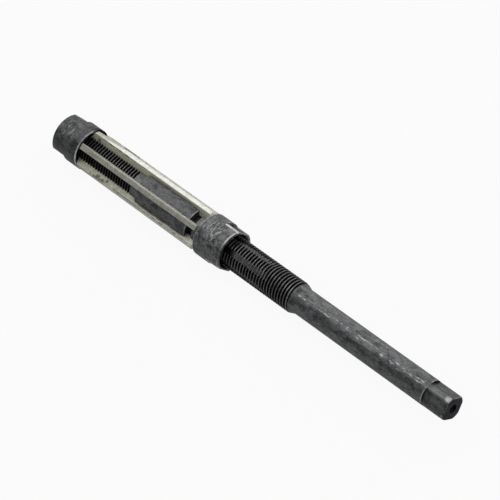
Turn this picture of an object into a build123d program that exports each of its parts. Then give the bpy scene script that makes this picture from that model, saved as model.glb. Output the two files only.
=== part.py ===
from build123d import *
from math import cos, radians, sin, sqrt, tan
import os

# Adjustable hand reamer: a slotted, threaded body with six loose blades in sloping slots.
# Two nuts hold the blades by their ends. Turned towards the square, they push the blades up
# the slopes, and the cutting diameter grows.
# Sizes are in millimetres. The work is done on the axis, with x counted from the tip, and each
# finished piece is then moved into the part's frame: +X to the square, +Z up, lying on the nuts.

# Whole tool
overall_length = 145.0
smallest_diameter = 12.75
diameter_range = 1.0

# Body
thread_diameter = 9.0
front_thread_spare = 4.1
land_diameter = 10.6
land_set_back = 4.2
neck_diameter = 7.9
neck_length = 1.8
rear_thread_spare = 4.7
shoulder_length = 2.0
shank_diameter = 7.5
tip_rounding = 0.5
land_rounding = 0.25
shank_rounding = 0.5

# Drive square and the centre holes that the tool was ground between
square_across_flats = 6.1
square_length = 7.4
square_turn = 49.0
centre_hole_diameter = 2.6
centre_drill_diameter = 1.2
centre_drill_depth = 3.4
centre_hole_angle = 30.0

# Slots
slot_angle = 1.5
floor_radius_at_tip = 2.0
cutter_radius = 62.5
cutter_overrun = 5.0

# Blades
blade_count = 6
blade_thickness = 1.6
blade_exposed_length = 47.0
blade_tuck = 0.5
blade_end_angle = 60.0
lead_taper_length = 5.2
lead_taper_drop = 0.3
margin_width = 0.4
relief_angle = 9.0

# Nuts
nut_diameter = 12.4
nut_length = 9.7
nut_across_flats = 11.0
nut_flat_length = 4.8
nut_lip = 0.6
nut_rim_chamfer = 0.2
nut_end_rounding = 0.6
nut_bore_chamfer = 0.75
front_nut_turn = 26.0
rear_nut_turn = 33.0

# Clearances: on each side of a blade, under it, round the thread, and what is left between a
# blade's end and a nut's cone at the largest diameter
slot_side_clearance = 0.04
slot_floor_clearance = 0.03
thread_clearance = 0.06
seat_clearance = 0.06
run_out_clearance = 0.3

# Worked out from the sizes above
shank_radius = shank_diameter / 2
thread_radius = thread_diameter / 2
land_radius = land_diameter / 2
nut_radius = nut_diameter / 2
blade_radius = smallest_diameter / 2
slot_width = blade_thickness + 2 * slot_side_clearance
slope = tan(radians(slot_angle))
rise = diameter_range / 2
travel = rise / slope
blade_pitch = 360 / blade_count

front_rim = nut_length
rear_rim = front_rim + blade_exposed_length
land_start = front_rim + travel + front_thread_spare
land_end = rear_rim - land_set_back
neck_end = land_end + neck_length
thread_end = rear_rim + nut_length + travel + rear_thread_spare
shank_start = thread_end + shoulder_length
square_start = overall_length - square_length

bore_radius = thread_radius + thread_clearance
mouth_radius = nut_radius - nut_lip
end_slope = tan(radians(blade_end_angle))
seat_gap = rise + seat_clearance / cos(radians(blade_end_angle))
rim_blade_radius = mouth_radius - seat_gap


def floor_radius(x):
    """Height of a slot's floor over the axis, x from the tip."""
    return floor_radius_at_tip + x * slope


def revolved(corners):
    """Solid of revolution about the axis, from corners given as x, radius and rounding."""
    points = [(x, 0, r) for x, r, rounding in corners]
    roundings = [rounding for x, r, rounding in corners]
    return revolve(make_face(FilletPolyline(*points, radius=roundings, close=True)), Axis.X)


def side_prism(edges, width):
    """Prism of the given width from an outline in the plane of the axis and +Z."""
    return extrude(make_face(edges), amount=width / 2, dir=(0, 1, 0), both=True)


def turned(shape, angle):
    """The shape turned about the axis, from pointing up +Z to the angle counted from +Y."""
    return Rot(X=angle - 90) * shape


def placed(shape):
    """The shape moved from the axis into the part's frame, where the tool lies on its nuts."""
    return Pos(-overall_length / 2, 0, nut_radius) * shape


def flat_cutter(start, length, across_flats, outer_radius):
    """Block that mills one flat, with its face towards the axis."""
    depth = 2 * outer_radius - across_flats / 2
    block = Box(length, 4 * outer_radius, depth)
    return Pos(start + length / 2, 0, across_flats / 2 + depth / 2) * block


def slot_cutter():
    """Path of the slotting cutter: a straight sloping floor, then the cutter's own radius."""
    start = -cutter_overrun
    outside = land_radius + cutter_overrun
    straight_end = rear_rim + blade_tuck + travel + run_out_clearance
    end_height = floor_radius(straight_end)
    centre_x = straight_end - cutter_radius * sin(radians(slot_angle))
    centre_height = end_height + cutter_radius * cos(radians(slot_angle))
    exit_x = centre_x + sqrt(cutter_radius**2 - (centre_height - outside) ** 2)
    start_point = (start, 0, floor_radius(start))
    end_point = (straight_end, 0, end_height)
    exit_point = (exit_x, 0, outside)
    path = [
        Line(start_point, end_point),
        TangentArc(end_point, exit_point, tangent=(1, 0, slope)),
        Line(exit_point, (start, 0, outside)),
        Line((start, 0, outside), start_point),
    ]
    return side_prism(path, slot_width)


def centre_hole(mouth_x, direction):
    """Countersunk centre hole that enters an end face at mouth_x."""
    mouth = centre_hole_diameter / 2
    drill = centre_drill_diameter / 2
    cone_depth = (mouth - drill) / tan(radians(centre_hole_angle))
    point_depth = centre_drill_depth + drill * tan(radians(centre_hole_angle))
    corners = [(0, 0), (0, mouth), (cone_depth, drill), (centre_drill_depth, drill), (point_depth, 0)]
    return revolved([(mouth_x + direction * depth, r, 0) for depth, r in corners])


def reamer_body():
    """Threaded front, plain middle land, neck, rear thread and shank, all one turned piece."""
    blank = revolved(
        [
            (0, 0, 0),
            (0, thread_radius, tip_rounding),
            (land_start, thread_radius, 0),
            (land_start, land_radius, land_rounding),
            (land_end, land_radius, land_rounding),
            (land_end, neck_diameter / 2, 0),
            (neck_end, neck_diameter / 2, 0),
            (neck_end, thread_radius, 0),
            (thread_end, thread_radius, 0),
            (shank_start, shank_radius, 0),
            (overall_length, shank_radius, shank_rounding),
            (overall_length, 0, 0),
        ]
    )
    slot = slot_cutter()
    slots = [turned(slot, n * blade_pitch) for n in range(blade_count)]
    flat = flat_cutter(square_start, 2 * square_length, square_across_flats, shank_radius)
    flats = [turned(flat, square_turn + 90 * n) for n in range(4)]
    holes = [centre_hole(0, 1), centre_hole(overall_length, -1)]
    return blank - slots - flats - holes


def blade():
    """One blade, pointing up: a sloping back, bevelled ends, a lead taper and ground relief."""
    front_end = front_rim - blade_tuck
    rear_end = rear_rim + blade_tuck
    end_radius = rim_blade_radius - blade_tuck * end_slope
    lead_radius = blade_radius - lead_taper_drop
    lead_start = front_rim + (lead_radius - rim_blade_radius) / end_slope
    edge_end = rear_rim - (blade_radius - rim_blade_radius) / end_slope
    side = Polyline(
        [
            (front_end, 0, floor_radius(front_end) + slot_floor_clearance),
            (rear_end, 0, floor_radius(rear_end) + slot_floor_clearance),
            (rear_end, 0, end_radius),
            (edge_end, 0, blade_radius),
            (lead_start + lead_taper_length, 0, blade_radius),
            (lead_start, 0, lead_radius),
            (front_end, 0, end_radius),
        ],
        close=True,
    )
    half = blade_thickness / 2
    margin_end = half - margin_width
    edge_height = sqrt(blade_radius**2 - half**2)
    margin_height = sqrt(blade_radius**2 - margin_end**2)
    back_height = margin_height - (margin_end + half) * tan(radians(relief_angle))
    section = Polyline(
        [
            (0, half, 0),
            (0, half, edge_height),
            (0, margin_end, margin_height),
            (0, -half, back_height),
            (0, -half, 0),
        ],
        close=True,
    )
    strip = extrude(make_face(section), amount=overall_length, dir=(1, 0, 0))
    return side_prism(side, 2 * blade_thickness) & strip


def nut():
    """One nut, with its blade end at x = nut_length and its spanner flats at x = 0."""
    cone_depth = (mouth_radius - bore_radius) / end_slope
    blank = revolved(
        [
            (0, bore_radius + nut_bore_chamfer, 0),
            (0, nut_radius, nut_end_rounding),
            (nut_length - nut_rim_chamfer, nut_radius, 0),
            (nut_length, nut_radius - nut_rim_chamfer, 0),
            (nut_length, mouth_radius, 0),
            (nut_length - cone_depth, bore_radius, 0),
            (nut_bore_chamfer, bore_radius, 0),
        ]
    )
    flat = flat_cutter(-nut_flat_length, 2 * nut_flat_length, nut_across_flats, nut_radius)
    return blank - [turned(flat, 90), turned(flat, 270)]


def front_nut():
    """Nut at the tip, with its cone towards the square."""
    return turned(nut(), front_nut_turn)


def rear_nut():
    """Nut behind the blades, with its cone towards the tip."""
    facing_tip = mirror(nut(), about=Plane.YZ)
    return Pos(rear_rim + nut_length, 0, 0) * turned(facing_tip, rear_nut_turn)


os.makedirs("parts", exist_ok=True)
pieces = {
    "reamer_body": reamer_body(),
    "front_nut": front_nut(),
    "rear_nut": rear_nut(),
}
loose_blade = blade()
for number in range(blade_count):
    pieces[f"blade_{number + 1}"] = turned(loose_blade, number * blade_pitch)
for name, piece in pieces.items():
    export_step(placed(piece), f"parts/{name}.step")
print(f"blades travel {travel:.3f} mm along the axis and rise {rise:.3f} mm")
print(f"land {land_start:.2f} to {land_end:.2f}, thread to {thread_end:.2f}, shank {shank_start:.2f}")
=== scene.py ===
# %% [markdown]
# # An adjustable hand reamer
# A hand reamer makes a drilled hole round and brings it to size. In this one, six loose blades lie
# in sloping slots, and two nuts hold them by their ends. Turning the nuts pushes the blades along
# the slopes, and the tool grows from 12.75 to 13.75 mm across.
#
# The lesson makes its surfaces: black oxide on turned steel, threads with worn crests, and ground
# blades. The model from the CAD program is the frame that each piece has to fit.

# %% Load the frame
import bpy
import bmesh
from math import acos, cos, pi, radians, sin, sqrt, tan
from mathutils import Matrix, Vector


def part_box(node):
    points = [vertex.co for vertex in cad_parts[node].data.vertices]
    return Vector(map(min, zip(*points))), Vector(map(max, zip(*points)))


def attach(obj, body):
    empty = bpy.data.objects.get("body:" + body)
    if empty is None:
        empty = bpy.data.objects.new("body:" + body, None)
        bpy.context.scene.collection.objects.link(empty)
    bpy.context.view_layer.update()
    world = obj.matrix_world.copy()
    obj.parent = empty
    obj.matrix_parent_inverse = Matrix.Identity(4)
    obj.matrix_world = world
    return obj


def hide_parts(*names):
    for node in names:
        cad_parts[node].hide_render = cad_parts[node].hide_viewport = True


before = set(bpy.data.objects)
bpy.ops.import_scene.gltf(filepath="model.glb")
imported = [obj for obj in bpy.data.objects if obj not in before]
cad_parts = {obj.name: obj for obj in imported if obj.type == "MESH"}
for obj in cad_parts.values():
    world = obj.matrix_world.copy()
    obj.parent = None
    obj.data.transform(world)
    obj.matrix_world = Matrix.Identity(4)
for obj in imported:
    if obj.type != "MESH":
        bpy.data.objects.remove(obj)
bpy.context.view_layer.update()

# %% [markdown]
# ## Sizes
# Places along the tool are counted from its tip. The frame gives the outer ones, and what lies
# inside the outline is named here, as a drawing of the tool would give it. Blender works in metres,
# so each size is written in millimetres times MM. Places round the axis are degrees from +Y
# towards +Z.

# %% Sizes that the frame gives
MM = 0.001
body_low, body_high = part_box("reamer_body")
front_low, front_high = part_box("front_nut")
rear_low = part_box("rear_nut")[0]
axis_height = (front_low[2] + front_high[2]) / 2
nut_radius = (front_high[2] - front_low[2]) / 2
nut_length = front_high[0] - front_low[0]
overall_length = body_high[0] - body_low[0]
rear_rim = rear_low[0] - body_low[0]
tip_place = Vector((body_low[0], 0, axis_height))
print(f"tool {overall_length / MM:.1f} mm long, axis {axis_height / MM:.2f} mm over the floor")

# %% Sizes of the body
thread_radius = 4.5 * MM
land_radius = 5.3 * MM
neck_radius = 3.95 * MM
shank_radius = 3.75 * MM
land_start = 32.894 * MM
land_end = rear_rim - 4.2 * MM
neck_end = land_end + 1.8 * MM
thread_end = 90.194 * MM
shank_start = thread_end + 2.0 * MM
square_length = 7.4 * MM
square_start = overall_length - square_length
square_across_flats = 6.1 * MM
square_turn = 49
centre_hole_radius = 1.3 * MM
centre_drill_radius = 0.6 * MM
centre_drill_depth = 3.4 * MM
centre_hole_slope = tan(radians(30))
end_rounding = 0.5 * MM
land_rounding = 0.25 * MM
edge_rounding = 0.12 * MM
print(f"land from {land_start / MM:.1f} to {land_end / MM:.1f} mm, square from {square_start / MM:.1f} mm")

# %% Sizes of the threads, the slots and the nuts
pitch = 1.0 * MM
thread_depth = 0.61 * MM
thread_root_width = 0.17 * MM
thread_flank_slope = tan(radians(30))
blade_count = 6
slot_width = 1.68 * MM
slot_angle = radians(1.5)
slot_floor_at_tip = 2.0 * MM
slot_cutter_radius = 62.5 * MM
slot_straight_end = rear_rim + 19.894 * MM
nut_across_flats = 11.0 * MM
nut_flat_length = 4.8 * MM
nut_bore_radius = 4.56 * MM
nut_bore_chamfer = 0.75 * MM
nut_mouth_radius = nut_radius - 0.6 * MM
nut_cone_slope = tan(radians(60))
nut_end_rounding = 0.6 * MM
nut_rim_chamfer = 0.2 * MM
nut_rim_rounding = 0.05 * MM
front_nut_turn = 26
rear_nut_turn = 33
print(f"{blade_count} slots {slot_width / MM:.2f} mm wide, nuts {2 * nut_radius / MM:.1f} mm across")

# %% [markdown]
# ## Helpers for node trees
# Geometry and materials are both node trees here. One helper adds a node, sets it up and connects
# what is a socket, so that the trees below read like a recipe. Most masks are put together from
# smaller ones, so a few short names stand for what is done to them all the time.

# %% Add a node
def add(tree, kind, inputs=None, **settings):
    """Adds a node. Inputs are given by name or number, and a socket is linked."""
    node = tree.nodes.new(kind)
    for name, value in settings.items():
        setattr(node, name, value)
    for key, value in (inputs or {}).items():
        if isinstance(value, bpy.types.NodeSocket):
            tree.links.new(value, node.inputs[key])
        else:
            node.inputs[key].default_value = value
    return node

def calc(tree, operation, *values, clamp=False):
    """A Math node on numbers or sockets."""
    node = add(tree, "ShaderNodeMath", dict(enumerate(values)), operation=operation, use_clamp=clamp)
    return node.outputs[0]

def vector_calc(tree, operation, one, other):
    """The outputs of a Vector Math node, which are named Vector and Value."""
    return add(tree, "ShaderNodeVectorMath", {0: one, 1: other}, operation=operation).outputs

def split_up(tree, vector):
    """The X, Y and Z of a vector."""
    return add(tree, "ShaderNodeSeparateXYZ", {0: vector}).outputs

# %% Put masks together
def chained(tree, operation, values):
    """One Math node after another, until every value is in."""
    total = values[0]
    for value in values[1:]:
        total = calc(tree, operation, total, value)
    return total

def times(tree, *values):
    """Masks laid over one another, or a mask made fainter by a number."""
    return chained(tree, "MULTIPLY", values)

def most(tree, *values):
    """Masks side by side, of which the strongest counts."""
    return chained(tree, "MAXIMUM", values)

def all_but(tree, mask):
    """What a mask leaves: 1 where it is 0."""
    return calc(tree, "SUBTRACT", 1.0, mask)

def over(tree, value, limit):
    """1 where a value is over its limit, and 0 elsewhere."""
    return calc(tree, "GREATER_THAN", value, limit)

def under(tree, value, limit):
    """1 where a value is under its limit, and 0 elsewhere."""
    return calc(tree, "LESS_THAN", value, limit)

# %% Turn a value into a mask
def ramp(tree, value, low, high, start=0.0, end=1.0, soft=False):
    """Goes from start to end while the value goes from low to high, and is level outside them."""
    return add(tree, "ShaderNodeMapRange",
               {"Value": value, "From Min": low, "From Max": high, "To Min": start, "To Max": end},
               interpolation_type="SMOOTHSTEP" if soft else "LINEAR").outputs[0]

def band(tree, value, low, high, soft):
    """A mask that is 1 between two values, with soft ends."""
    rise = ramp(tree, value, low - soft, low + soft, soft=True)
    fall = ramp(tree, value, high + soft, high - soft, soft=True)
    return times(tree, rise, fall)

def noise(tree, place, scale, detail, roughness=0.5, distortion=0.0):
    """A noise texture, whose values lie round 0.5."""
    return add(tree, "ShaderNodeTexNoise",
               {"Vector": place, "Scale": scale, "Detail": detail, "Roughness": roughness,
                "Distortion": distortion}).outputs[0]

# %% Start a group with named inputs and outputs
SOCKETS = {"number": "NodeSocketFloat", "count": "NodeSocketInt", "vector": "NodeSocketVector",
           "geometry": "NodeSocketGeometry", "object": "NodeSocketObject",
           "material": "NodeSocketMaterial"}

def new_group(name, kind, inputs, outputs):
    """A node group, its input sockets by name and its output node."""
    group = bpy.data.node_groups.new(name, kind)
    for label, socket_kind in inputs.items():
        group.interface.new_socket(label, in_out="INPUT", socket_type=SOCKETS[socket_kind])
    for label, socket_kind in outputs.items():
        group.interface.new_socket(label, in_out="OUTPUT", socket_type=SOCKETS[socket_kind])
    return group, group.nodes.new("NodeGroupInput").outputs, group.nodes.new("NodeGroupOutput")

def put_out(group, result, values):
    """Connects sockets to a group's outputs by their names."""
    for name, socket in values.items():
        group.links.new(socket, result.inputs[name])

# %% [markdown]
# ## Turning a piece
# The body and the nuts are turned on a lathe, so each starts as an outline that is spun round the
# axis. A corner of the outline has its own rounding, because no real edge is perfectly sharp, and a
# rounded edge is what catches the light.

# %% Outline with rounded corners
ARC_STEPS = 5

def rounded(corners, closed):
    """Points of an outline from corners given as x, radius and rounding."""
    points = []
    count = len(corners)
    for i, (x, r, rounding) in enumerate(corners):
        here = Vector((x, r))
        if rounding == 0 or (not closed and i in (0, count - 1)):
            points.append(here)
            continue
        before = (Vector(corners[i - 1][:2]) - here).normalized()
        after = (Vector(corners[(i + 1) % count][:2]) - here).normalized()
        half = acos(max(-1, min(1, before.dot(after)))) / 2
        centre = here + (before + after).normalized() * (rounding / sin(half))
        start = here + before * (rounding / tan(half)) - centre
        end = here + after * (rounding / tan(half)) - centre
        for step in range(ARC_STEPS + 1):
            share = step / ARC_STEPS
            points.append(centre + start.lerp(end, share).normalized() * rounding)
    return points

# %% Make an object from a shape
def object_from(name, shape):
    """Turns a finished bmesh into an object of the scene."""
    mesh = bpy.data.meshes.new(name)
    shape.to_mesh(mesh)
    shape.free()
    piece = bpy.data.objects.new(name, mesh)
    bpy.context.scene.collection.objects.link(piece)
    return piece

# %% Spin the outline
POLE_RADIUS = 1e-9

def spun(name, corners, segments, closed=False):
    """A piece turned from an outline, on the X axis, with its poles closed."""
    shape = bmesh.new()
    rings = []
    angles = [2 * pi * n / segments for n in range(segments)]
    for x, r in rounded(corners, closed):
        if r < POLE_RADIUS:
            rings.append([shape.verts.new((x, 0, 0))])
        else:
            rings.append([shape.verts.new((x, r * cos(a), r * sin(a))) for a in angles])
    pairs = list(zip(rings, rings[1:]))
    if closed:
        pairs.append((rings[-1], rings[0]))
    for one, other in pairs:
        for n in range(segments):
            m = (n + 1) % segments
            face = [one[n % len(one)], one[m % len(one)], other[m % len(other)], other[n % len(other)]]
            shape.faces.new(list(dict.fromkeys(face)))
    bmesh.ops.recalc_face_normals(shape, faces=shape.faces)
    print(f"{name}: {len(rings)} rings of {segments}")
    return object_from(name, shape)

# %% [markdown]
# ## Milling round the axis
# Slots and flats are milled: a cutter goes through the piece, the piece is turned by an equal step,
# and the cutter goes through again. A Geometry Nodes tree does the same. It copies one cutter round
# the axis and takes all the copies away from the piece.

# %% The end that both trees share
SHARP_ANGLE = radians(28)

def finish_tree(group, result, mesh, material):
    """Makes the result real, gives it its material and keeps its sharp edges sharp."""
    real = add(group, "GeometryNodeRealizeInstances", {"Geometry": mesh}).outputs[0]
    coated = add(group, "GeometryNodeSetMaterial", {"Geometry": real, "Material": material}).outputs[0]
    smooth = add(group, "GeometryNodeSetShadeSmooth", {"Geometry": coated}, domain="FACE").outputs[0]
    angle = add(group, "GeometryNodeInputMeshEdgeAngle").outputs["Unsigned Angle"]
    edges = add(group, "GeometryNodeSetShadeSmooth",
                {"Geometry": smooth, "Selection": over(group, angle, SHARP_ANGLE), "Shade Smooth": False},
                domain="EDGE")
    put_out(group, result, {"Geometry": edges.outputs[0]})

# %% The milling tree
mill_around, given, result = new_group(
    "mill_around", "GeometryNodeTree",
    {"Geometry": "geometry", "Cutter": "object", "Count": "count", "First turn": "number",
     "Material": "material"},
    {"Geometry": "geometry"})
mill_around.is_modifier = True
cutter = add(mill_around, "GeometryNodeObjectInfo", {"Object": given["Cutter"]}).outputs["Geometry"]
stops = add(mill_around, "GeometryNodePoints", {"Count": given["Count"]}).outputs[0]
step = calc(mill_around, "DIVIDE", 2 * pi, given["Count"])
index = add(mill_around, "GeometryNodeInputIndex").outputs[0]
turn = calc(mill_around, "MULTIPLY_ADD", index, step, given["First turn"])
about_axis = add(mill_around, "ShaderNodeCombineXYZ", {"X": turn}).outputs[0]
copies = add(mill_around, "GeometryNodeInstanceOnPoints",
             {"Points": stops, "Instance": cutter, "Rotation": about_axis}).outputs[0]
milled = add(mill_around, "GeometryNodeMeshBoolean", {"Mesh 1": given["Geometry"], "Mesh 2": copies},
             operation="DIFFERENCE", solver="MANIFOLD").outputs[0]
finish_tree(mill_around, result, milled, given["Material"])
print("mill_around:", len(mill_around.nodes), "nodes")

# %% [markdown]
# ## Cutting a thread
# A thread is a groove along a helix. The tree draws the helix at the thread's outer radius, sweeps
# the shape of the threading tool along it, and takes the sweep away from the piece. Towards both
# ends the tool is drawn out of the steel, so the groove runs out instead of stopping at a wall.

# %% The helix and the shape of the threading tool
STEPS_PER_TURN = 64
TOOL_OVERLAP = 0.05 * MM

cut_thread, given, result = new_group(
    "cut_thread", "GeometryNodeTree",
    {"Geometry": "geometry", "Start": "number", "End": "number", "Pitch": "number", "Radius": "number",
     "Depth": "number", "Root width": "number", "Run-out turns": "number", "Material": "material"},
    {"Geometry": "geometry"})
cut_thread.is_modifier = True
length = calc(cut_thread, "SUBTRACT", given["End"], given["Start"])
turns = calc(cut_thread, "DIVIDE", length, given["Pitch"])
helix = add(cut_thread, "GeometryNodeCurveSpiral",
            {"Resolution": STEPS_PER_TURN, "Rotations": turns, "Start Radius": given["Radius"],
             "End Radius": given["Radius"], "Height": length, "Reverse": True}).outputs[0]
upright = add(cut_thread, "GeometryNodeSetCurveNormal", {"Curve": helix}, mode="Z_UP").outputs[0]
tool_height = calc(cut_thread, "ADD", given["Depth"], TOOL_OVERLAP)
top_width = calc(cut_thread, "MULTIPLY_ADD", tool_height, 2 * thread_flank_slope, given["Root width"])
tool = add(cut_thread, "GeometryNodeCurvePrimitiveQuadrilateral",
           {"Height": tool_height, "Bottom Width": given["Root width"], "Top Width": top_width,
            "Offset": 0.0}, mode="TRAPEZOID").outputs[0]
tool_centre = calc(cut_thread, "MULTIPLY_ADD", tool_height, -0.5, TOOL_OVERLAP)
tool_place = add(cut_thread, "ShaderNodeCombineXYZ", {"X": tool_centre}).outputs[0]
aimed = add(cut_thread, "GeometryNodeTransform",
            {"Geometry": tool, "Translation": tool_place, "Rotation": (0, 0, -pi / 2)}).outputs[0]
print(f"threading tool reaches {TOOL_OVERLAP / MM:.2f} mm over the thread")

# %% Sweep the tool and take the sweep away
SMALLEST_REACH = 0.02

share = add(cut_thread, "GeometryNodeSplineParameter").outputs["Factor"]
from_end = calc(cut_thread, "MINIMUM", share, all_but(cut_thread, share))
turns_from_end = times(cut_thread, from_end, turns)
drawn_in = calc(cut_thread, "DIVIDE", turns_from_end, given["Run-out turns"], clamp=True)
reach = most(cut_thread, SMALLEST_REACH, drawn_in)
sweep = add(cut_thread, "GeometryNodeCurveToMesh",
            {"Curve": upright, "Profile Curve": aimed, "Scale": reach, "Fill Caps": True}).outputs[0]
start_place = add(cut_thread, "ShaderNodeCombineXYZ", {"X": given["Start"]}).outputs[0]
laid = add(cut_thread, "GeometryNodeTransform",
           {"Geometry": sweep, "Translation": start_place, "Rotation": (0, pi / 2, 0)}).outputs[0]
threaded = add(cut_thread, "GeometryNodeMeshBoolean", {"Mesh 1": given["Geometry"], "Mesh 2": laid},
               operation="DIFFERENCE", solver="MANIFOLD").outputs[0]
finish_tree(cut_thread, result, threaded, given["Material"])
print("cut_thread:", len(cut_thread.nodes), "nodes")

# %% Run a tree on a piece
def run_tree(piece, group, values):
    """Adds the tree as a modifier with its named inputs set."""
    modifier = piece.modifiers.new(group.name, "NODES")
    modifier.node_group = group
    for socket in group.interface.items_tree:
        if socket.in_out == "INPUT" and socket.name in values:
            modifier[socket.identifier] = values[socket.name]

def made_real(piece, place):
    """Turns the evaluated piece into a plain mesh and moves the mesh to its place in the frame."""
    seen = piece.evaluated_get(bpy.context.evaluated_depsgraph_get())
    mesh = bpy.data.meshes.new_from_object(seen)
    piece.modifiers.clear()
    piece.data = mesh
    mesh.transform(Matrix.Translation(place))
    print(f"{piece.name}: {sum(len(f.vertices) - 2 for f in mesh.polygons)} triangles")

# %% [markdown]
# ## Effects that the materials share
# All the dark pieces are steel with black oxide: the part is dipped hot and turns black, with a thin
# film of oil left on it. The film is thinner or rubbed off in places, so the grey is mottled, the
# edges are worn to bare steel, and small nicks shine. Three effects are shared by the materials, and
# each is a group: a point's place on the tool, the mottled film and the wear along edges.

# %% Where a point lies on the tool
place_on_tool, given, result = new_group(
    "place_on_tool", "ShaderNodeTree", {},
    {"Along": "number", "Radius": "number", "Place": "vector", "Endwise": "number"})
coordinates = add(place_on_tool, "ShaderNodeTexCoord").outputs
from_tip = vector_calc(place_on_tool, "SUBTRACT", coordinates["Object"], tip_place)["Vector"]
parts = split_up(place_on_tool, from_tip)
squares = calc(place_on_tool, "ADD", times(place_on_tool, parts["Y"], parts["Y"]),
               times(place_on_tool, parts["Z"], parts["Z"]))
facing = split_up(place_on_tool, coordinates["Normal"])["X"]
put_out(place_on_tool, result, {
    "Along": parts["X"], "Radius": calc(place_on_tool, "SQRT", squares), "Place": from_tip,
    "Endwise": calc(place_on_tool, "ABSOLUTE", facing)})

# %% The mottled film: patches with grain in them, specks, and faint veins on the light patches
NOISE_MIDDLE = 0.5
GRAIN_SHARE = 0.45
VEIN_STRENGTH = 0.3

mottle, given, result = new_group(
    "mottle", "ShaderNodeTree", {"Place": "vector", "Patch size": "number", "Contrast": "number"},
    {"Mask": "number", "Specks": "number"})
patch_scale = calc(mottle, "DIVIDE", 1.0, given["Patch size"])
patches = noise(mottle, given["Place"], patch_scale, 4.0, 0.6, 0.4)
grain = noise(mottle, given["Place"], times(mottle, patch_scale, 5.0), 3.0, 0.7)
both = calc(mottle, "MULTIPLY_ADD", grain, GRAIN_SHARE, times(mottle, patches, 1 - GRAIN_SHARE))
off_middle = calc(mottle, "SUBTRACT", both, NOISE_MIDDLE)
spread = calc(mottle, "MULTIPLY_ADD", off_middle, given["Contrast"], NOISE_MIDDLE, clamp=True)
speck_field = noise(mottle, given["Place"], times(mottle, patch_scale, 2.2), 6.0, 0.75)
specks = ramp(mottle, speck_field, 0.6, 0.7)
vein_field = noise(mottle, given["Place"], times(mottle, patch_scale, 1.6), 3.0, 0.55, 0.8)
off_vein = calc(mottle, "ABSOLUTE", calc(mottle, "SUBTRACT", vein_field, NOISE_MIDDLE))
veins = times(mottle, ramp(mottle, off_vein, 0.022, 0.004), spread, VEIN_STRENGTH)
put_out(mottle, result, {"Mask": spread, "Specks": most(mottle, specks, veins)})

# %% Wear along edges, with gaps in it
EDGE_CHIP_SCALE = 900.0

edge_wear, given, result = new_group(
    "edge_wear", "ShaderNodeTree", {"Place": "vector", "Width": "number", "Amount": "number"},
    {"Mask": "number"})
soft_normal = add(edge_wear, "ShaderNodeBevel", {"Radius": given["Width"]}, samples=6).outputs[0]
true_normal = add(edge_wear, "ShaderNodeNewGeometry").outputs["Normal"]
likeness = vector_calc(edge_wear, "DOT_PRODUCT", soft_normal, true_normal)["Value"]
near_edge = ramp(edge_wear, likeness, 0.998, 0.965)
kept = ramp(edge_wear, noise(edge_wear, given["Place"], EDGE_CHIP_SCALE, 3.0, 0.7), 0.38, 0.6)
worn = calc(edge_wear, "MULTIPLY", times(edge_wear, near_edge, kept), given["Amount"], clamp=True)
put_out(edge_wear, result, {"Mask": worn})
print("shared groups:", place_on_tool.name, mottle.name, edge_wear.name)

# %% Start a material, use a group in it, mix its colours and end it
def new_material(name):
    """A material with an emptied node tree, that tree and its output node."""
    material = bpy.data.materials.new(name)
    material.use_nodes = True
    material.node_tree.nodes.clear()
    return material, material.node_tree, add(material.node_tree, "ShaderNodeOutputMaterial")

def grouped(tree, group, inputs=None):
    """Places a shared group in a material and gives its outputs."""
    return add(tree, "ShaderNodeGroup", inputs, node_tree=group).outputs

def mixed(tree, factor, one, other):
    """One colour turning into another by a mask. The node's colours are its inputs 6 and 7."""
    return add(tree, "ShaderNodeMix", {"Factor": factor, 6: one, 7: other}, data_type="RGBA").outputs[2]

def end_in_metal(tree, output, colour, metal, rough, height, strength, relief):
    """Ends a material in a metal shader, whose normal follows a height with this much relief."""
    bump = add(tree, "ShaderNodeBump", {"Height": height, "Strength": strength, "Distance": relief})
    shader = add(tree, "ShaderNodeBsdfPrincipled", {"Base Color": colour, "Metallic": metal,
                                                    "Roughness": rough, "Normal": bump.outputs[0]})
    tree.links.new(shader.outputs[0], output.inputs["Surface"])

# %% Masks for places and marks on the tool
def direction_at(turn_angle):
    """The direction away from the axis at an angle from +Y."""
    return Vector((0, cos(radians(turn_angle)), sin(radians(turn_angle))))

def on_side(tree, where, turn_angle, low, high):
    """1 where the surface lies towards an angle, by the cosine of the angle between."""
    over_axis = vector_calc(tree, "DOT_PRODUCT", where["Place"], direction_at(turn_angle))["Value"]
    cosine = calc(tree, "DIVIDE", over_axis, calc(tree, "ADD", where["Radius"], 0.01 * MM))
    return ramp(tree, cosine, low, high)

def near(tree, place, spot):
    """1 at a spot and 0 beyond its reach. A spot is x in mm, angle, radius in mm and reach in mm."""
    x, turn_angle, radius, reach = spot
    centre = (Vector((x, 0, 0)) + radius * direction_at(turn_angle)) * MM
    away = vector_calc(tree, "DISTANCE", place, centre)["Value"]
    return ramp(tree, away, reach * MM, 0.3 * reach * MM, soft=True)

def chipped(tree, place, low, high):
    """A broken mark, for wear and for painted shadow: from low in its gaps to high on what is left of it."""
    return ramp(tree, noise(tree, place, 420.0, 4.0), 0.38, 0.6, low, high)

def streaks(tree, place, stretch, scale, low, high):
    """Strokes from stretched noise, which begin where it passes low and are full at high."""
    stretched = vector_calc(tree, "MULTIPLY", place, stretch)["Vector"]
    return ramp(tree, noise(tree, stretched, scale, 6.0), low, high)
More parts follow.
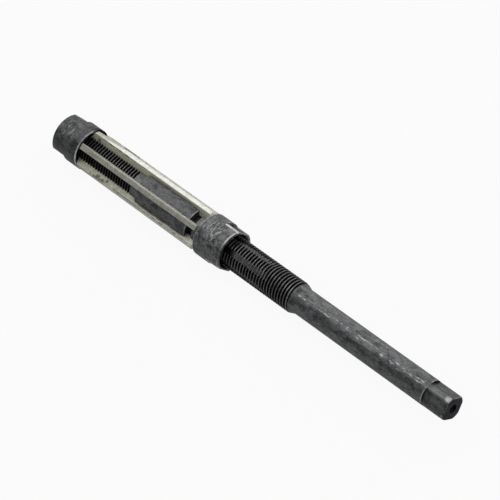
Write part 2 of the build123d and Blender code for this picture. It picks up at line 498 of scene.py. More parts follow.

# %% [markdown]
# ## Black oxide
# The body and the nuts have the same finish, handled differently: hands and wrenches wear the
# nuts, and the nuts wear the crests of the threads. One function builds the finish, and takes how
# coarse the mottling is and how bright the wear gets. Its masks also paint shade as black film and
# highlights as bare steel. Fine rings from turning show in the relief.

# %% Black oxide
# The near-black colour is fresh film and also painted shade; bare steel is worn steel and also painted
# highlights.
OXIDE_BLACK_AND_SHADE = (0.006, 0.006, 0.009, 1)
OXIDE_DARK = (0.036, 0.038, 0.043, 1)
OXIDE_LIGHT = (0.165, 0.169, 0.167, 1)
BARE_STEEL_AND_HIGHLIGHT = (0.62, 0.62, 0.60, 1)
RING_STRETCH = (1, 0.02, 0.02)
RING_SCALE = 9000.0
RING_SHARE = 0.35

def oxide_finish(name, patch_size, stretch, contrast, edge_width, edge_amount, relief, masks):
    """Black oxide; masks(tree, where) gives, from place to place, how black the film is, with painted shade
    in it, and how rubbed it is, with painted highlights in it.
    """
    material, tree, output = new_material(name)
    where = grouped(tree, place_on_tool)
    drawn = vector_calc(tree, "MULTIPLY", where["Place"], stretch)["Vector"]
    film = grouped(tree, mottle, {"Place": drawn, "Patch size": patch_size, "Contrast": contrast})
    wear = grouped(tree, edge_wear, {"Place": where["Place"], "Width": edge_width, "Amount": edge_amount})
    black_film_and_shade, wear_and_highlights = masks(tree, where)
    colour = mixed(tree, film["Mask"], OXIDE_DARK, OXIDE_LIGHT)
    # Near black where the film is fresh and where shade is painted.
    colour = mixed(tree, black_film_and_shade, colour, OXIDE_BLACK_AND_SHADE)
    nicks = times(tree, film["Specks"], calc(tree, "SUBTRACT", 0.5, black_film_and_shade, clamp=True))
    edges = times(tree, wear["Mask"], all_but(tree, black_film_and_shade))
    # Bare steel on worn edges, nicks and rubbed places, and on painted highlights.
    colour = mixed(tree, most(tree, edges, nicks, wear_and_highlights), colour, BARE_STEEL_AND_HIGHLIGHT)
    metal = ramp(tree, black_film_and_shade, 0, 1, 0.75, 1.0)
    rough = ramp(tree, film["Mask"], 0, 1, 0.34, 0.58)
    round_axis = vector_calc(tree, "MULTIPLY", where["Place"], RING_STRETCH)["Vector"]
    rings = noise(tree, round_axis, RING_SCALE, 2.0)
    height = calc(tree, "MULTIPLY_ADD", rings, RING_SHARE, film["Mask"])
    end_in_metal(tree, output, colour, metal, rough, height, 0.4, relief)
    print("material", name, len(tree.nodes), "nodes")
    return material

# %% [markdown]
# ## Film, wear and painted light of the body
# The film on the body is nearly as black as new in the grooves and where the rear nut covers it, and
# thinner elsewhere. Painted shade makes the neck, the end face and the centre hole at the square end
# black, and darkens the thread next to both nuts as their shadow and on the front thread's low side.
# The front part is a little darker, and the shank has darker blots along one side. Bare steel shows
# on crests, on corners, along one edge of the square and in long strokes on the shank; a painted
# highlight brightens the last crests, and the strokes on the shank's lit top are painted glints as
# well. Each place is a small mask, and the strongest one counts.

# %% The threads of the body
# The thread's low side, which gets painted shade.
SHADED_THREAD_SIDE = 150
# A painted highlight on the last crests of the rear thread.
LAST_CREST_HIGHLIGHT = (88.8, 103, 4.5, 2.2)
CREST_PATCH_SCALE = 420.0

def thread_masks(tree, where):
    """Both threads, and how far a point lies below the crests."""
    front = band(tree, where["Along"], -1 * MM, land_start, 0.1 * MM)
    rear = band(tree, where["Along"], neck_end, thread_end + 0.6 * MM, 0.1 * MM)
    below_crest = ramp(tree, where["Radius"], thread_radius - 0.01 * MM, thread_radius - 0.12 * MM)
    return most(tree, front, rear), below_crest

def front_thread_shade_and_film(tree, where):
    """Darkness of the front thread: painted shadow of the front nut just past its rim, a darkening that fades
    towards the land, painted shade on the low side, and lighter under the nut.
    """
    # Painted shadow of the nut on the thread, and painted shade on the thread's low side.
    nut_shadow = ramp(tree, where["Along"], 10.5 * MM, 16 * MM, 1.0, 0.6)
    towards_land = ramp(tree, where["Along"], 16 * MM, 33 * MM, 1.0, 0.6)
    low_side_shade = on_side(tree, where, SHADED_THREAD_SIDE, 0.9, 0.97)
    film = calc(tree, "MULTIPLY_ADD", low_side_shade, 0.3, times(tree, nut_shadow, towards_land), clamp=True)
    on_thread = band(tree, where["Along"], 0.4 * MM, land_start - 2.8 * MM, 0.02 * MM)
    under_nut = ramp(tree, where["Along"], nut_length, nut_length - 4 * MM, 1.0, 0.62)
    return times(tree, film, on_thread, under_nut)

def thread_wear_and_highlight(tree, where, threads, below_crest):
    """The crests are worn in patches, more behind the neck, and a painted highlight brightens the last crests
    of the rear thread.
    """
    crest = all_but(tree, below_crest)
    patches = noise(tree, where["Place"], CREST_PATCH_SCALE, 3.0)
    patchy = ramp(tree, patches, 0.35, 0.65, 0.02, 0.2)
    behind_neck = over(tree, where["Along"], neck_end)
    by_thread = ramp(tree, behind_neck, 0, 1, 0.4, 1.0)
    last_crest_highlight = times(tree, near(tree, where["Place"], LAST_CREST_HIGHLIGHT), crest, 0.35)
    return most(tree, times(tree, crest, threads, patchy, by_thread), last_crest_highlight)

# %% The corners of the body
SQUARE_CORNER = (144.3, 95, 3.6, 1.5)
SQUARE_EDGE = (141.0, 96, 3.7, 4.0)

def corner_wear(tree, where, on_round):
    """Broken bright lines at the land's two ends, the step to the square and the end face."""
    along = where["Along"]
    land_edges = most(tree, band(tree, along, land_start - 0.1 * MM, land_start + 0.2 * MM, 0.05 * MM),
                      band(tree, along, land_end - 0.25 * MM, land_end + 0.1 * MM, 0.05 * MM))
    on_land = over(tree, where["Radius"], land_radius - 0.3 * MM)
    step_edge = times(tree, on_side(tree, where, square_turn + 90, 0.72, 0.82),
                      band(tree, along, square_start - 0.5 * MM, square_start - 0.05 * MM, 0.1 * MM))
    end_edge = band(tree, along, overall_length - 0.9 * MM, overall_length - 0.3 * MM, 0.15 * MM)
    lines = most(tree, times(tree, land_edges, on_land),
                 times(tree, most(tree, step_edge, end_edge), on_round))
    return times(tree, lines, chipped(tree, where["Place"], 0.0, 0.4))

def square_wear(tree, where, on_round):
    """One edge of the square shines, most of all at its corner."""
    corner = times(tree, near(tree, where["Place"], SQUARE_CORNER), 0.6)
    edge = times(tree, near(tree, where["Place"], SQUARE_EDGE), 0.14)
    return times(tree, most(tree, corner, edge), on_round, chipped(tree, where["Place"], 0.6, 1.0))

# %% The shank
# The lit top of the shank, where the scuffs are also painted glints.
SCUFFED_AND_LIT_SIDE = 102
DARK_BLOT_SIDE = 124
ALONG_SHANK = (0.3, 1, 1)

def on_shank(tree, where):
    """1 on the shank, with long soft ends."""
    return band(tree, where["Along"], shank_start - MM, square_start, 2.0 * MM)

def shank_scuffs_and_glints(tree, where):
    """Scuffs as bright strokes on the lit top of the shank only, so they are partly painted glints; they get
    stronger by the square.
    """
    top = on_side(tree, where, SCUFFED_AND_LIT_SIDE, 0.965, 0.99)
    strokes = streaks(tree, where["Place"], ALONG_SHANK, 1900.0, 0.54, 0.66)
    by_square = ramp(tree, where["Along"], 112 * MM, 126 * MM, 0.45, 0.62)
    return times(tree, top, on_shank(tree, where), strokes, by_square)

def shank_dark_blots(tree, where):
    """Darker blots along one side of the shank."""
    side = on_side(tree, where, DARK_BLOT_SIDE, 0.93, 0.98)
    blots = streaks(tree, where["Place"], ALONG_SHANK, 400.0, 0.28, 0.52)
    return times(tree, side, on_shank(tree, where), blots)

# %% All of the body
# How dark each place is: kept black film, and painted shade in the neck, on the end face, in the centre hole
# and next to the nuts.
FILM_AND_SHADE = {"grooves": 0.94, "neck": 0.9, "end face": 0.93, "centre hole": 1.0, "front": 0.13,
             "front thread": 1.0, "rear seat": 0.97, "rear thread": 0.4, "square": 0.27, "dark blots": 0.36}

def body_film_and_shade(tree, where, threads, below_crest):
    """How dark the body is, from 0 to 1, from kept black film and painted shade: the most of what the places
    say.
    """
    along, endwise = where["Along"], where["Endwise"]
    places = {
        "grooves": times(tree, threads, below_crest, ramp(tree, endwise, 0.2, 0.5)),
        # Painted shade in the neck, on the end face and in the centre hole.
        "neck": band(tree, along, land_end, neck_end, 0.05 * MM),
        "end face": times(tree, over(tree, endwise, 0.8), over(tree, along, shank_start)),
        "centre hole": times(tree, under(tree, where["Radius"], centre_hole_radius + 0.02 * MM),
                             over(tree, along, overall_length - 6 * MM)),
        # The whole front, up to the neck, is a little darker.
        "front": under(tree, along, neck_end),
        "front thread": front_thread_shade_and_film(tree, where),
        # Where the rear nut covers the thread, and painted shadow of the nut just past both its ends.
        "rear seat": band(tree, along, neck_end + MM, rear_rim + nut_length + 3.0 * MM, 1.5 * MM),
        "rear thread": band(tree, along, neck_end, thread_end, 0.3 * MM),
        "square": over(tree, along, square_start),
        "dark blots": shank_dark_blots(tree, where),
    }
    return most(tree, *(times(tree, mask, FILM_AND_SHADE[place]) for place, mask in places.items()))

def body_masks(tree, where):
    """Film, wear, painted shade and painted highlights of the body."""
    threads, below_crest = thread_masks(tree, where)
    on_round = over(tree, where["Radius"], shank_radius - 0.25 * MM)
    wear_and_highlights = most(tree, thread_wear_and_highlight(tree, where, threads, below_crest), corner_wear(tree, where, on_round),
                  square_wear(tree, where, on_round), shank_scuffs_and_glints(tree, where))
    return body_film_and_shade(tree, where, threads, below_crest), wear_and_highlights

body_oxide = oxide_finish("body_oxide", 1.3 * MM, (0.55, 1, 1), 5.0, 0.3 * MM, 0.5, 0.03 * MM, body_masks)

# %% [markdown]
# ## Film, wear and painted light of the nuts
# A nut is gripped by a spanner and rubs on whatever it lies on, so its rims and the corners of its
# flats are worn in broken lines. Some of the bright spots on the rims are painted highlights, a dark
# patch at the front nut's far rim is painted shade, and the front nut is a little darker overall.
# Both nuts use one material. What follows the shape reads the nut's own frame, from an attribute,
# and single marks are spots on the tool.

# %% Rims, corners and scuffs of the nuts, with painted highlights and painted shade
NUT_PLACE = "nut_place"
# Spots where the rims are worn and also painted highlights.
WORN_AND_LIT_RIMS = ((66.1, 92, 6.0, 4.0), (56.9, 85, 6.1, 4.0), (9.6, 160, 6.1, 6.0))
# Painted shade on the front nut's far rim.
SHADED_RIM = (9.6, 25, 6.1, 7.0)
REAR_NUT_SCUFF = (61.3, 97, 6.2, 4.5)
FRONT_NUT_SCUFF = (4.0, 100, 6.2, 5.0)
ROUND_NUT = (1, 0.45, 0.45)

def rim_lines(tree, where, own):
    """Broken lines on both rims, fuller round spots that are partly worn and partly painted highlights."""
    outer_rim = band(tree, own["X"], 0.1 * MM, 0.4 * MM, 0.1 * MM)
    blade_rim = band(tree, own["X"], nut_length - 0.25 * MM, nut_length + 0.1 * MM, 0.05 * MM)
    outside = over(tree, where["Radius"], nut_radius - 0.45 * MM)
    worn_and_lit_spots = most(tree, *(near(tree, where["Place"], spot) for spot in WORN_AND_LIT_RIMS))
    broken = chipped(tree, where["Place"], 0.02, 0.5)
    wear = calc(tree, "ADD", broken, times(tree, worn_and_lit_spots, 0.55), clamp=True)
    return times(tree, most(tree, outer_rim, blade_rim), outside, wear)

def flat_corners(tree, where, own):
    """Lines where the flats meet the round of the nut."""
    flat_half_width = sqrt(nut_radius ** 2 - (nut_across_flats / 2) ** 2)
    from_middle = calc(tree, "ABSOLUTE", own["Y"])
    off_corner = calc(tree, "ABSOLUTE", calc(tree, "SUBTRACT", from_middle, flat_half_width))
    at_flats = over(tree, calc(tree, "ABSOLUTE", own["Z"]), nut_across_flats / 2 - 0.45 * MM)
    return times(tree, ramp(tree, off_corner, 0.55 * MM, 0.35 * MM), at_flats,
                 under(tree, own["X"], nut_flat_length - 0.2 * MM), chipped(tree, where["Place"], 0.6, 1.0))

def nut_scuffs(tree, where):
    """Strokes in a patch on top of each nut, fainter on the front one."""
    rear = near(tree, where["Place"], REAR_NUT_SCUFF)
    front = times(tree, near(tree, where["Place"], FRONT_NUT_SCUFF), 0.5)
    strokes = streaks(tree, where["Place"], ROUND_NUT, 1700.0, 0.5, 0.64)
    return times(tree, most(tree, rear, front), strokes, 0.45)

# %% All of a nut
# The front nut is a little darker than the rear one.
FRONT_NUT_DARKENING = 0.38
FRONT_NUT_CORNERS = 0.126

def nut_masks(tree, where):
    """Film, wear, painted shade and painted highlights of a nut, whose own frame has its flats' end at X = 0
    and its flats on +Z and -Z.
    """
    own = split_up(tree, add(tree, "ShaderNodeAttribute", attribute_name=NUT_PLACE).outputs["Vector"])
    off_outer_end = ramp(tree, own["X"], 0.1 * MM, 0.4 * MM)
    inside = ramp(tree, where["Radius"], nut_mouth_radius + 0.06 * MM, nut_mouth_radius - 0.02 * MM)
    # Painted shade: the front nut's far rim goes black.
    rim_shade = times(tree, near(tree, where["Place"], SHADED_RIM),
                     ramp(tree, own["X"], nut_length - 1.6 * MM, nut_length - 0.8 * MM))
    is_front = under(tree, where["Along"], nut_length + MM)
    black_film_and_shade = most(tree, times(tree, inside, off_outer_end), times(tree, is_front, FRONT_NUT_DARKENING), rim_shade)
    corners = times(tree, flat_corners(tree, where, own),
                    ramp(tree, is_front, 0, 1, 1.0, FRONT_NUT_CORNERS))
    lines = times(tree, most(tree, rim_lines(tree, where, own), corners), all_but(tree, rim_shade))
    return black_film_and_shade, most(tree, lines, nut_scuffs(tree, where))

nut_oxide = oxide_finish("nut_oxide", 1.8 * MM, (1, 1, 1), 7.0, 0.4 * MM, 1.0, 0.06 * MM, nut_masks)

# %% [markdown]
# ## Ground blades
# The blades are hardened tool steel, ground on every face and left bare. Grinding leaves fine lines
# along the blade, and age leaves a warm, slightly stained grey. Painted shade darkens the top of one
# blade, a line on the sides just over the land and the outer edge of the low blade. The pattern has
# to follow each blade, so the blades carry an attribute with the place along, up and across the blade.

# %% Stain and painted shade on top of a blade, dirt and painted shade on its sides
BLADE_PLACE = "blade_place"
# The blade whose top faces this way gets painted shade.
SHADED_BLADE_SIDE = 120
LOW_SIDE = 180
LEAD_CURVE = 6.5 * MM
DIRT_SPOTS = ((12.5, 69.5, 4.87, 0.9), (18.5, 172.2, 5.9, 1.3), (20.6, 172.5, 6.1, 1.3),
              (21.9, 171.3, 5.26, 0.8))
lead_end = nut_length + 5.4 * MM

def top_stain_and_shade(tree, where, across, side, film):
    """The dull lead, which reaches further back at the cutting edge, the film, and painted shade on the top
    of one blade.
    """
    to_edge = ramp(tree, across, 0.75 * MM, -0.45 * MM)
    to_edge = times(tree, to_edge, to_edge, all_but(tree, side))
    past_lead = calc(tree, "MULTIPLY_ADD", to_edge, -LEAD_CURVE, where["Along"])
    lead = times(tree, ramp(tree, past_lead, lead_end + 0.3 * MM, lead_end - 0.3 * MM),
                 ramp(tree, to_edge, 0, 1, 0.55, 1.0))
    stain_and_shade = calc(tree, "MULTIPLY_ADD", film, 0.5, lead)
    # Painted shade on the top of the blade that faces the shaded side.
    return calc(tree, "MULTIPLY_ADD", on_side(tree, where, SHADED_BLADE_SIDE, 0.95, 0.985), 0.55, stain_and_shade, clamp=True)

def side_dirt_and_shade(tree, where, own, up):
    """Dirt: bites behind the lead and single spots. Painted shadow: a line on the side just over the land,
    and painted shade along the edge of the low blade.
    """
    along = where["Along"]
    bites = ramp(tree, noise(tree, own, 750.0, 4.0), 0.44, 0.52)
    at_lead = times(tree, ramp(tree, up, 5.6 * MM, 5.95 * MM), bites,
                    band(tree, along, lead_end, lead_end + 11 * MM, 3 * MM))
    spots = most(tree, *(near(tree, where["Place"], spot) for spot in DIRT_SPOTS))
    # Painted shadow where the blade's side meets the land.
    land_shadow_line = times(tree, band(tree, along, land_start + MM, land_end - MM, MM),
                      band(tree, up, 5.0 * MM, 5.6 * MM, 0.06 * MM), chipped(tree, own, 1.0, 0.45))
    # Painted shade along the outer edge of the low blade.
    low_edge_shade = times(tree, band(tree, along, lead_end + 8 * MM, rear_rim - MM, 2 * MM),
                     ramp(tree, up, 5.85 * MM, 5.95 * MM), on_side(tree, where, LOW_SIDE, 0.8, 0.9),
                     calc(tree, "MULTIPLY_ADD", bites, 0.5, 0.35))
    return most(tree, at_lead, spots, land_shadow_line, low_edge_shade)

# %% Ground steel
STEEL_CLEAN = (0.69, 0.685, 0.655, 1)
STEEL_STAINED_AND_SHADED = (0.36, 0.355, 0.30, 1)
STEEL_OLIVE = (0.43, 0.435, 0.325, 1)
STEEL_DIRT_AND_SHADE = (0.09, 0.075, 0.05, 1)
STEEL_BRIGHT = (0.85, 0.84, 0.80, 1)
GRINDING_STRETCH = (0.03, 1, 1)
GRINDING_SCALE = 14000.0

def ground_steel(name):
    """Bare steel with grinding lines: stained on top, olive and dirty on the sides, bright at edges, with
    painted shade on one blade's top, over the land and along the low blade's edge.
    """
    material, tree, output = new_material(name)
    own = add(tree, "ShaderNodeAttribute", attribute_name=BLADE_PLACE).outputs["Vector"]
    on_blade = split_up(tree, own)
    where = grouped(tree, place_on_tool)
    film = grouped(tree, mottle, {"Place": own, "Patch size": 1.5 * MM, "Contrast": 6.0})
    wear = grouped(tree, edge_wear, {"Place": own, "Width": 0.15 * MM, "Amount": 0.5})
    side = over(tree, calc(tree, "ABSOLUTE", on_blade["Z"]), 0.78 * MM)
    stain_and_shade = top_stain_and_shade(tree, where, on_blade["Z"], side, film["Mask"])
    colour = mixed(tree, stain_and_shade, STEEL_CLEAN, STEEL_STAINED_AND_SHADED)
    cleaner_at_rear = ramp(tree, where["Along"], 48 * MM, 56 * MM, 0.55, 0.25)
    side_stain = times(tree, side, calc(tree, "MULTIPLY_ADD", film["Mask"], 0.45, cleaner_at_rear))
    colour = mixed(tree, side_stain, colour, STEEL_OLIVE)
    # Dirt and painted shade on the sides.
    dirt_and_shade = times(tree, side_dirt_and_shade(tree, where, own, on_blade["Y"]), side, 0.85)
    nicks = times(tree, film["Specks"], 0.65)
    colour = mixed(tree, most(tree, nicks, dirt_and_shade), colour, STEEL_DIRT_AND_SHADE)
    colour = mixed(tree, wear["Mask"], colour, STEEL_BRIGHT)
    stretched = vector_calc(tree, "MULTIPLY", own, GRINDING_STRETCH)["Vector"]
    lines = noise(tree, stretched, GRINDING_SCALE, 2.0)
    rough = calc(tree, "MULTIPLY_ADD", side_stain, 0.25, ramp(tree, lines, 0, 1, 0.25, 0.42))
    metal = calc(tree, "MULTIPLY_ADD", side_stain, -0.6, 0.9)
    end_in_metal(tree, output, colour, metal, rough, lines, 0.3, 0.01 * MM)
    print("material", name, len(tree.nodes), "nodes")
    return material

blade_steel = ground_steel("blade_steel")

# %% [markdown]
# ## The body
# The body is one bar. It is turned first, with a centre hole in each end to run on. Then the two
# threads are cut, and last come the slots for the blades and the drive square. The steps here are in
# the same order as in the workshop.

# %% Turn the body
BODY_SEGMENTS = 144

hole_cone = (centre_hole_radius - centre_drill_radius) / centre_hole_slope
drill_point = centre_drill_depth + centre_drill_radius * centre_hole_slope
hole = [(drill_point, 0), (centre_drill_depth, centre_drill_radius), (hole_cone, centre_drill_radius),
        (0, centre_hole_radius)]
outline = [
    *((depth, r, 0) for depth, r in hole),
    (0, thread_radius, end_rounding),
    (land_start, thread_radius, 0),
    (land_start, land_radius, land_rounding),
    (land_end, land_radius, land_rounding),
    (land_end, neck_radius, 0),
    (neck_end, neck_radius, 0),
    (neck_end, thread_radius, edge_rounding),
    (thread_end, thread_radius, edge_rounding * 2),
    (shank_start, shank_radius, edge_rounding * 3),
    (overall_length, shank_radius, end_rounding),
    *((overall_length - depth, r, 0) for depth, r in reversed(hole)),
]
body = spun("body", outline, BODY_SEGMENTS)

# %% Cut the threads
front_thread = (-2 * pitch, land_start - 2.6 * pitch)
rear_thread = (rear_rim + 1.2 * pitch, thread_end + 0.8 * pitch)
for start, end in (front_thread, rear_thread):
    run_tree(body, cut_thread, {"Start": start, "End": end, "Pitch": pitch, "Radius": thread_radius,
                                "Depth": thread_depth, "Root width": thread_root_width,
                                "Run-out turns": 0.6, "Material": body_oxide})
    print(f"thread from {start / MM:.1f} to {end / MM:.1f} mm")

# %% [markdown]
# A cutter for milling is a plain block, or the path of a round cutter. It is only a tool: it never
# shows, and it goes once the piece is cut.

# %% Make a cutter from its side view
CLEAR = 4 * MM
FLAT_CUTTER_WIDTH = 16 * MM

def cutter_from(name, side, width):
    """A prism on the +Z side of the axis, from a side view given as x and height."""
    shape = bmesh.new()
    left, right = ([shape.verts.new((x, y, z)) for x, z in side] for y in (-width / 2, width / 2))
    shape.faces.new(left)
    shape.faces.new(list(reversed(right)))
    count = len(side)
    for n in range(count):
        m = (n + 1) % count
        shape.faces.new([left[n], right[n], right[m], left[m]])
    bmesh.ops.recalc_face_normals(shape, faces=shape.faces)
    return object_from(name, shape)

def flat_cutter(name, start, end, across_flats):
    """A block that mills one flat from start to end."""
    low, high = across_flats / 2, across_flats / 2 + CLEAR
    return cutter_from(name, [(start, low), (end, low), (end, high), (start, high)], FLAT_CUTTER_WIDTH)

# %% The slot cutter, with the run-out that its own radius leaves
SLOT_ARC_STEPS = 32

def slot_floor(x):
    """Height of a slot's floor over the axis, x from the tip."""
    return slot_floor_at_tip + x * tan(slot_angle)

centre_x = slot_straight_end - slot_cutter_radius * sin(slot_angle)
centre_z = slot_floor(slot_straight_end) + slot_cutter_radius * cos(slot_angle)
top = land_radius + CLEAR
exit_angle = acos((centre_z - top) / slot_cutter_radius)
slot_side = [(-CLEAR, top), (-CLEAR, slot_floor(-CLEAR))]
for n in range(SLOT_ARC_STEPS + 1):
    angle = slot_angle + (exit_angle - slot_angle) * n / SLOT_ARC_STEPS
    slot_side.append((centre_x + slot_cutter_radius * sin(angle), centre_z - slot_cutter_radius * cos(angle)))
slot_cutter = cutter_from("slot_cutter", slot_side, slot_width)
print(f"slot cutter leaves the steel before {slot_side[-1][0] / MM:.1f} mm")

# %% Mill the slots and the square
def turn_from_top(turn_angle):
    """The turn about the axis that takes what points up to an angle from +Y."""
    return radians(turn_angle) - pi / 2

square_cutter = flat_cutter("square_cutter", square_start, overall_length + CLEAR, square_across_flats)
for milling_cutter, count, first_angle in ((slot_cutter, blade_count, 0), (square_cutter, 4, square_turn)):
    run_tree(body, mill_around, {"Cutter": milling_cutter, "Count": count, "Material": body_oxide,
                                 "First turn": turn_from_top(first_angle)})
made_real(body, tip_place)
for milling_cutter in (slot_cutter, square_cutter):
    bpy.data.objects.remove(milling_cutter)

# %% [markdown]
# ## The nuts
# Both nuts are the same turned collar with a rounded outer end, a thin lip that wraps over the
# blades, and a short cone inside that presses on the blades' ends. Two flats for a spanner are
# milled at the outer end. The rear nut is the front one, turned round.

# %% Turn and mill the nuts
NUT_SEGMENTS = 160

def nut_outline():
    """A nut's closed outline, with its flats' end at 0 and its blade end at nut_length."""
    cone = (nut_mouth_radius - nut_bore_radius) / nut_cone_slope
    return [
        (0, nut_bore_radius + nut_bore_chamfer, edge_rounding),
        (0, nut_radius, nut_end_rounding),
        (nut_length - nut_rim_chamfer, nut_radius, nut_rim_rounding),
        (nut_length, nut_radius - nut_rim_chamfer, nut_rim_rounding),
        (nut_length, nut_mouth_radius, nut_rim_rounding),
        (nut_length - cone, nut_bore_radius, 0),
        (nut_bore_chamfer, nut_bore_radius, 0),
    ]

def nut(name, turn_angle, outer_x, direction):
    """A nut with its flats at outer_x and its lip in the given direction along the axis."""
    placed = [(outer_x + direction * x, r, rounding) for x, r, rounding in nut_outline()]
    piece = spun(name, placed, NUT_SEGMENTS, closed=True)
    ends = sorted((outer_x - direction * CLEAR, outer_x + direction * nut_flat_length))
    nut_cutter = flat_cutter(name + "_cutter", *ends, nut_across_flats)
    first_turn = turn_from_top(turn_angle)
    run_tree(piece, mill_around, {"Cutter": nut_cutter, "Count": 2, "Material": nut_oxide,
                                  "First turn": first_turn})
    made_real(piece, tip_place)
    bpy.data.objects.remove(nut_cutter)
    turned_back = Matrix.Rotation(-first_turn, 4, "X") @ Matrix.Translation(-tip_place)
    own_place = piece.data.attributes.new(NUT_PLACE, "FLOAT_VECTOR", "POINT")
    for vertex, value in zip(piece.data.vertices, own_place.data):
        x, y, z = turned_back @ vertex.co
        value.vector = (abs(x - outer_x), y, z)
    return piece

front_nut = nut("front_collar", front_nut_turn, 0, 1)
rear_nut = nut("rear_collar", rear_nut_turn, rear_rim + nut_length, -1)

# %% [markdown]
# ## The blades
# The CAD blades already have their sloping back, bevelled ends, lead taper and ground relief. A
# copy gets what the drawing leaves out: edges that are a few hundredths of a millimetre round. The
# copy is merged first, because the CAD mesh is made of loose triangles.

# %% Copy a blade and soften its edges
MERGE_DISTANCE = 1e-7
FLAT_ANGLE = radians(1)
BLADE_EDGE_WIDTH = 0.04 * MM
BLADE_EDGE_ANGLE = radians(20)
PATTERN_SHIFT = 31 * MM

def soft_blade(number):
    """A blade with softened edges. Its own place is shifted, so that no two have the same pattern."""
    node_name = f"blade_{number + 1}"
    shape = bmesh.new()
    shape.from_mesh(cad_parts[node_name].data)
    bmesh.ops.remove_doubles(shape, verts=shape.verts, dist=MERGE_DISTANCE)
    bmesh.ops.dissolve_limit(shape, angle_limit=FLAT_ANGLE, verts=shape.verts, edges=shape.edges)
    piece = object_from(f"ground_{node_name}", shape)
    piece.data.materials.append(blade_steel)
    blade_turn = radians(360 / blade_count * number)
    turned_back = Matrix.Rotation(-blade_turn, 4, "X") @ Matrix.Translation(-tip_place)
    own_place = piece.data.attributes.new(BLADE_PLACE, "FLOAT_VECTOR", "POINT")
    for vertex, value in zip(piece.data.vertices, own_place.data):
        value.vector = turned_back @ vertex.co + Vector((PATTERN_SHIFT * number, 0, 0))
    bevel = piece.modifiers.new("ground_edges", "BEVEL")
    bevel.width = BLADE_EDGE_WIDTH
    bevel.segments = 2
    bevel.limit_method = "ANGLE"
    bevel.angle_limit = BLADE_EDGE_ANGLE
    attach(piece, node_name)
    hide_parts(node_name)
    return piece

blades = [soft_blade(number) for number in range(blade_count)]
print("blades:", ", ".join(b.name for b in blades))

# %% Tie the turned pieces to the bodies that carry them
for piece, node_name, rider, slot_name in ((body, "reamer_body", "body", "body"),
                                           (front_nut, "front_nut", "front_nut", "nut"),
                                           (rear_nut, "rear_nut", "rear_nut", "nut")):
    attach(piece, rider)
    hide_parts(node_name)
    print(f"{piece.name} rides on {rider}")

# %% [markdown]
# ## Floor and light
# The tool lies on white, as in a catalogue. The floor's own material makes the white: what the
# camera and shiny metal see of it is partly its own light, and the rest is a plain pale surface
# that still takes the tool's shadow. The lamp stays at a plain level.

# %% Floor
FLOOR_SIZE = 6.0
FLOOR_GREY = (0.5, 0.5, 0.5, 1)
WHITE = (1, 1, 1, 1)
GLOW_TO_CAMERA = 0.93
GLOW_TO_METAL = 0.25

floor_material, tree, output = new_material("pale_floor")
path = add(tree, "ShaderNodeLightPath").outputs
mirrored = most(tree, path["Is Glossy Ray"], path["Is Transmission Ray"])
own_light = most(tree, times(tree, path["Is Camera Ray"], GLOW_TO_CAMERA),
                 times(tree, mirrored, GLOW_TO_METAL))
plain = add(tree, "ShaderNodeBsdfDiffuse", {"Color": FLOOR_GREY}).outputs[0]
white = add(tree, "ShaderNodeEmission", {"Color": WHITE, "Strength": 1.0}).outputs[0]
blend = add(tree, "ShaderNodeMixShader", {"Fac": own_light, 1: plain, 2: white})
tree.links.new(blend.outputs[0], output.inputs["Surface"])
bpy.ops.mesh.primitive_plane_add(size=FLOOR_SIZE, location=(0, 0, 0))
floor = bpy.context.object
floor.name = "floor"
floor.data.materials.append(floor_material)
print(f"floor {FLOOR_SIZE:.0f} m wide")

# %% World: a room that is bright on one side, with a window there
BRIGHT_SIDE = (0, 0.9, 0.1)
DIM_WALL = 0.33
BRIGHT_WALL = 1.18
WINDOW_LIGHT = 0.45

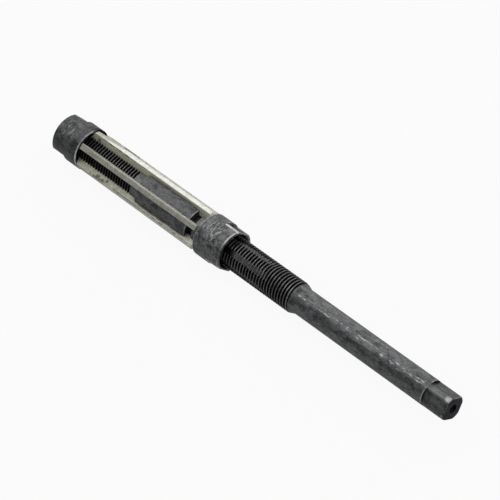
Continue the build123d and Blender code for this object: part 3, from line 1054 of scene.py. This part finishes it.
world = bpy.data.worlds.new("studio")
bpy.context.scene.world = world
world.use_nodes = True
tree = world.node_tree
tree.nodes.clear()
direction = add(tree, "ShaderNodeTexCoord").outputs["Generated"]
towards_bright = vector_calc(tree, "DOT_PRODUCT", direction, BRIGHT_SIDE)["Value"]
walls = ramp(tree, towards_bright, -0.73, 0.77, DIM_WALL, BRIGHT_WALL)
window = ramp(tree, towards_bright, 0.5, 0.8, 0.0, WINDOW_LIGHT, soft=True)
path = add(tree, "ShaderNodeLightPath").outputs
strength = most(tree, calc(tree, "ADD", walls, window), path["Is Camera Ray"])
room = add(tree, "ShaderNodeBackground", {"Color": WHITE, "Strength": strength}).outputs[0]
tree.links.new(room, add(tree, "ShaderNodeOutputWorld").inputs["Surface"])
print("world:", len(tree.nodes), "nodes")

# %% Lamp
def softbox(name, place, size, power):
    """A square lamp that is aimed at the middle of the tool."""
    lamp = bpy.data.lights.new(name, "AREA")
    lamp.size = size
    lamp.energy = power
    lamp_object = bpy.data.objects.new(name, lamp)
    lamp_object.location = place
    towards = Vector((0, 0, axis_height)) - Vector(place)
    lamp_object.rotation_euler = towards.to_track_quat("-Z", "Y").to_euler()
    bpy.context.scene.collection.objects.link(lamp_object)
    print(f"lamp {name}: {power} W, {towards.length:.2f} m away")

softbox("key", (-0.48, -0.02, 0.76), 0.38, 1.1)

# %% [markdown]
# ## Camera
# The camera stands well back and looks down on the tool, as in a catalogue photograph. Its place was
# found by matching the tool's ends, its nuts and its width in the photograph.

# %% Camera
view_azimuth = radians(58.247)
view_height = radians(51.377)
view_roll = radians(-15.987)
view_distance = 0.6953
target = Vector((-0.9 * MM, 0, axis_height))
back = Vector((sin(view_azimuth) * cos(view_height), -cos(view_azimuth) * cos(view_height), sin(view_height)))
right = Vector((cos(view_azimuth), sin(view_azimuth), 0))
above = back.cross(right)
rolled_right = cos(view_roll) * right + sin(view_roll) * above
rolled_above = cos(view_roll) * above - sin(view_roll) * right
camera_data = bpy.data.cameras.new("camera")
camera_data.lens = 191.808
camera_data.sensor_width = 36
camera_data.shift_x = 0.00426
camera_data.shift_y = 0.023922
camera = bpy.data.objects.new("camera", camera_data)
turn_matrix = Matrix((rolled_right, rolled_above, back)).transposed().to_4x4()
camera.matrix_world = Matrix.Translation(target + back * view_distance) @ turn_matrix
bpy.context.scene.collection.objects.link(camera)
bpy.context.scene.camera = camera
bpy.context.scene.view_settings.view_transform = "Standard"
print(f"camera {view_distance:.2f} m away, lens {camera_data.lens:.0f} mm")
